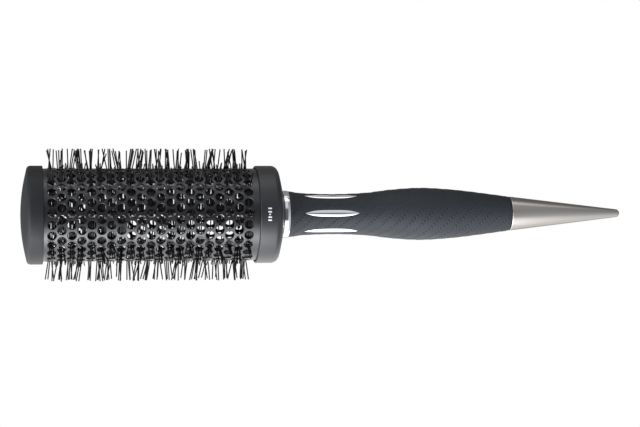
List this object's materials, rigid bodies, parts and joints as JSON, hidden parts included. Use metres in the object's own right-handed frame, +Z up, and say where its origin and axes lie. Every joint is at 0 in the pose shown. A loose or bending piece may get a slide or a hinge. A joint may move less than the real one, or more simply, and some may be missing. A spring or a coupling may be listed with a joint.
{
  "type": "round barrel hair brush",
  "caption": "Round thermal hair brush: perforated barrel with zigzag bristle rows, domed tip cap, collar, bright neck ring, windowed rubber grip and pointed metal tail.",
  "frame": {"origin": "under the middle of the brush's overall length, level with the lowest bristle tips as it lies on its side", "axes": "+X along the brush from the tip cap to the tail's point, +Z up, +Y sideways"},
  "size_m": [0.2662, 0.0572, 0.0573],
  "materials": {
    "cap_plastic": "satin charcoal moulding",
    "hub_plastic": "plain black moulding",
    "barrel_metal": "satin anthracite ceramic-type coating on a thin aluminium tube",
    "nylon_bristle": "black nylon filament held in bright twisted steel wire",
    "steel": "plain bright steel",
    "bright_ring": "polished chrome plate",
    "bright_core": "polished and chrome-bright sleeve",
    "grip_rubber": "soft charcoal rubber with a fine stepped diagonal texture",
    "tail_metal": "satin warm-grey nickel finish"
  },
  "bodies": {
    "root": {"tip_cap": "cap_plastic", "tip_nut": "steel", "tip_washer": "steel", "tip_hub": "hub_plastic", "barrel_tube": "barrel_metal", "bristle_row_01": "nylon_bristle", "bristle_row_02": "nylon_bristle", "bristle_row_03": "nylon_bristle", "bristle_row_04": "nylon_bristle", "bristle_row_05": "nylon_bristle", "bristle_row_06": "nylon_bristle", "bristle_row_07": "nylon_bristle", "bristle_row_08": "nylon_bristle", "rear_hub": "hub_plastic", "collar": "cap_plastic", "tie_rod": "steel", "neck_ring": "bright_ring", "handle_core": "bright_core", "grip_sleeve": "grip_rubber", "tail_stud": "steel", "tail_cone": "tail_metal"}
  },
  "joints": []
}
